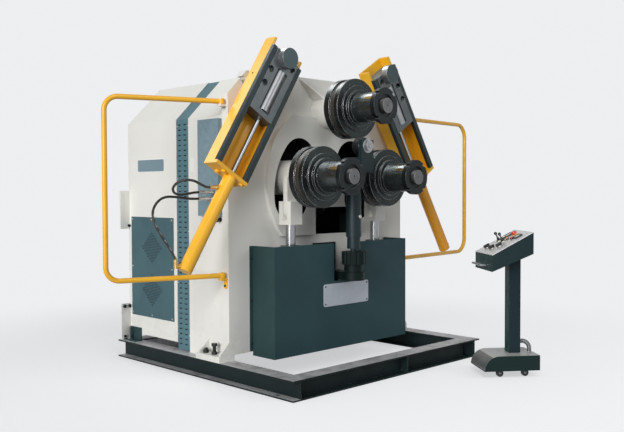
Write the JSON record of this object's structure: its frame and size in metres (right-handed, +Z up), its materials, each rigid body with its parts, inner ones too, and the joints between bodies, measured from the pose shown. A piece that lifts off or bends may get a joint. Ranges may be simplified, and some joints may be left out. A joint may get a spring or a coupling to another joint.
{
  "type": "angle roll bender",
  "caption": "Hydraulic angle roll bender for bending steel sections, with driven rolls on swing arms, leaning side guides, guard gates and a rolling control console.",
  "frame": {"origin": "on the floor at the middle of the base frame's anchor holes", "axes": "+X to the right along the row of rolls, +Y from the rolls to the rear cabinet, +Z up"},
  "size_m": [4.5401, 3.2957, 2.8562],
  "materials": {
    "dark_paint": "satin",
    "cream_paint": "satin",
    "teal_paint": "hammered",
    "yellow_paint": "gloss",
    "grey_paint": "satin",
    "black_steel": "oiled",
    "bright_steel": "turned",
    "roll_steel": "turned and hardened",
    "chrome_rod": "polished",
    "fitting_steel": "plated",
    "hose_rubber": "matte",
    "panel_metal": "brushed",
    "red_plastic": "gloss",
    "black_plastic": "satin",
    "wheel_rubber": "matte"
  },
  "bodies": {
    "machine": {"base_frame": "dark_paint", "front_plate": "cream_paint", "side_plates": "cream_paint", "back_plate": "cream_paint", "cabinet_shell": "cream_paint", "vent_band": "teal_paint", "access_panel": "teal_paint", "side_cover": "teal_paint", "apron": "dark_paint", "guide_frames": "yellow_paint", "guide_rails": "black_steel", "guide_cylinders": "yellow_paint", "hose_upper": "hose_rubber", "hose_lower": "hose_rubber", "hose_fittings": "fitting_steel", "bend_cylinders": "black_steel", "center_bracket": "dark_paint", "pivot_pin": "bright_steel", "power_pack": "grey_paint", "anchor_bolts": "bright_steel", "upper_drive": "grey_paint"},
    "left_gate": {"left_guard": "yellow_paint"},
    "right_gate": {"right_guard": "yellow_paint"},
    "left_swing": {"left_arm": "cream_paint", "left_drive": "grey_paint"},
    "right_swing": {"right_arm": "cream_paint", "right_drive": "grey_paint"},
    "upper_spindle": {"upper_shaft": "bright_steel", "upper_roll": "roll_steel", "upper_nut": "black_steel"},
    "left_spindle": {"left_shaft": "bright_steel", "left_roll": "roll_steel", "left_nut": "black_steel"},
    "right_spindle": {"right_shaft": "bright_steel", "right_roll": "roll_steel", "right_nut": "black_steel"},
    "left_lift": {"left_rod": "chrome_rod"},
    "right_lift": {"right_rod": "chrome_rod"},
    "center_lift": {"center_post": "black_steel"},
    "hand_collar": {"center_collar": "bright_steel"},
    "center_wheel": {"center_roll": "roll_steel"},
    "left_slide": {"left_carriage": "black_steel"},
    "left_end_roll": {"left_pin_roll": "chrome_rod"},
    "left_long_roll": {"left_face_roll": "chrome_rod"},
    "right_slide": {"right_carriage": "black_steel"},
    "right_end_roll": {"right_pin_roll": "chrome_rod"},
    "right_long_roll": {"right_face_roll": "chrome_rod"},
    "console": {"console_base": "dark_paint", "console_post": "dark_paint", "console_box": "dark_paint", "console_panel": "panel_metal", "console_conduit": "fitting_steel"},
    "stop_button": {"emergency_stop": "red_plastic"},
    "joystick_1": {"left_joystick": "black_plastic"},
    "joystick_2": {"right_joystick": "black_plastic"},
    "switch_1": {"selector_a": "black_plastic"},
    "switch_2": {"selector_b": "black_plastic"},
    "switch_3": {"selector_c": "black_plastic"},
    "wheels_1": {"front_wheels": "wheel_rubber"},
    "wheels_2": {"rear_wheels": "wheel_rubber"}
  },
  "joints": [
    {"name": "left_gate_swing", "type": "hinge", "parent": "machine", "child": "left_gate", "pos_m": [-1.15, -0.3, 1.5], "axis": [0, 0, -1], "range_deg": [-16, 68]},
    {"name": "right_gate_swing", "type": "hinge", "parent": "machine", "child": "right_gate", "pos_m": [1.15, -0.3, 1.5], "axis": [0, 0, 1], "range_deg": [-4, 81]},
    {"name": "left_roll_swing", "type": "hinge", "parent": "machine", "child": "left_swing", "pos_m": [0, -0.1, 1.55], "axis": [0, 1, 0], "range_deg": [-6.5, 12]},
    {"name": "right_roll_swing", "type": "hinge", "parent": "machine", "child": "right_swing", "pos_m": [0, 0.05, 1.55], "axis": [0, -1, 0], "range_deg": [-6.5, 12]},
    {"name": "left_rod_stroke", "type": "slide", "parent": "machine", "child": "left_lift", "axis": [0, 0, 1], "range_m": [-0.065, 0.12]},
    {"name": "right_rod_stroke", "type": "slide", "parent": "machine", "child": "right_lift", "axis": [0, 0, 1], "range_m": [-0.065, 0.12]},
    {"name": "upper_roll_spin", "type": "hinge", "parent": "machine", "child": "upper_spindle", "pos_m": [0, -0.7, 2.289], "axis": [0, 1, 0], "continuous": true},
    {"name": "left_roll_spin", "type": "hinge", "parent": "left_swing", "child": "left_spindle", "pos_m": [-0.42, -0.7, 1.686], "axis": [0, 1, 0], "continuous": true},
    {"name": "right_roll_spin", "type": "hinge", "parent": "right_swing", "child": "right_spindle", "pos_m": [0.42, -0.7, 1.686], "axis": [0, 1, 0], "continuous": true},
    {"name": "collar_turn", "type": "hinge", "parent": "machine", "child": "hand_collar", "pos_m": [0, -0.712, 0.95], "axis": [0, 0, 1], "range_deg": [-360, 900]},
    {"name": "center_post_lift", "type": "slide", "parent": "machine", "child": "center_lift", "axis": [0, 0, 1], "range_m": [-0.0205, 0.0505]},
    {"name": "center_roll_spin", "type": "hinge", "parent": "center_lift", "child": "center_wheel", "pos_m": [0, -0.8, 1.957], "axis": [0, 1, 0], "continuous": true},
    {"name": "left_guide_slide", "type": "slide", "parent": "machine", "child": "left_slide", "axis": [0.5299, 0, 0.848], "range_m": [-0.45, 0.03]},
    {"name": "right_guide_slide", "type": "slide", "parent": "machine", "child": "right_slide", "axis": [-0.5299, 0, 0.848], "range_m": [-0.45, 0.03]},
    {"name": "left_end_roll_spin", "type": "hinge", "parent": "left_slide", "child": "left_end_roll", "pos_m": [-0.65946, -0.58, 2.671], "axis": [0, 1, 0], "continuous": true},
    {"name": "left_long_roll_spin", "type": "hinge", "parent": "left_slide", "child": "left_long_roll", "pos_m": [-0.79458, -0.515, 2.3887], "axis": [0.5299, 0, 0.848], "continuous": true},
    {"name": "right_end_roll_spin", "type": "hinge", "parent": "right_slide", "child": "right_end_roll", "pos_m": [0.65946, -0.58, 2.671], "axis": [0, 1, 0], "continuous": true},
    {"name": "right_long_roll_spin", "type": "hinge", "parent": "right_slide", "child": "right_long_roll", "pos_m": [0.79458, -0.515, 2.3887], "axis": [-0.5299, 0, 0.848], "continuous": true},
    {"name": "console_move", "type": "slide", "parent": "machine", "child": "console", "axis": [0.7934, -0.6088, 0], "range_m": [-0.25, 0.6]},
    {"name": "front_wheels_spin", "type": "hinge", "parent": "console", "child": "wheels_1", "pos_m": [0.6667, -1.73308, 0.03], "axis": [0.6088, 0.7934, 0], "range_deg": [-500, 1200]},
    {"name": "rear_wheels_spin", "type": "hinge", "parent": "console", "child": "wheels_2", "pos_m": [0.84124, -1.86701, 0.03], "axis": [0.6088, 0.7934, 0], "range_deg": [-500, 1200]},
    {"name": "stop_press", "type": "slide", "parent": "console", "child": "stop_button", "axis": [0.3697, -0.2837, -0.8848], "range_m": [0, 0.006], "stiffness_N_per_m": 1500},
    {"name": "joystick_1_tilt", "type": "hinge", "parent": "console", "child": "joystick_1", "pos_m": [0.81319, -1.68289, 1.12901], "axis": [0.6088, 0.7934, 0], "range_deg": [-18, 18], "stiffness_Nm_per_rad": 3},
    {"name": "joystick_2_tilt", "type": "hinge", "parent": "console", "child": "joystick_2", "pos_m": [0.7556, -1.75794, 1.12901], "axis": [0.6088, 0.7934, 0], "range_deg": [-18, 18], "stiffness_Nm_per_rad": 3},
    {"name": "switch_1_turn", "type": "hinge", "parent": "console", "child": "switch_1", "pos_m": [0.72796, -1.61749, 1.07468], "axis": [-0.3697, 0.2837, 0.8848], "range_deg": [-45, 45]},
    {"name": "switch_2_turn", "type": "hinge", "parent": "console", "child": "switch_2", "pos_m": [0.65467, -1.71301, 1.07468], "axis": [-0.3697, 0.2837, 0.8848], "range_deg": [-45, 45]},
    {"name": "switch_3_turn", "type": "hinge", "parent": "console", "child": "switch_3", "pos_m": [0.65182, -1.7867, 1.09712], "axis": [-0.3697, 0.2837, 0.8848], "range_deg": [-45, 45]}
  ],
  "couplings": [
    {"joint": "left_rod_stroke", "follows": "left_roll_swing", "m_per_rad": 0.547},
    {"joint": "right_rod_stroke", "follows": "right_roll_swing", "m_per_rad": 0.547},
    {"joint": "left_roll_spin", "follows": "upper_roll_spin", "ratio": -1},
    {"joint": "right_roll_spin", "follows": "upper_roll_spin", "ratio": -1},
    {"joint": "center_post_lift", "follows": "collar_turn", "m_per_rad": 0.003183},
    {"joint": "front_wheels_spin", "follows": "console_move", "rad_per_m": 33.333},
    {"joint": "rear_wheels_spin", "follows": "console_move", "rad_per_m": 33.333}
  ]
}
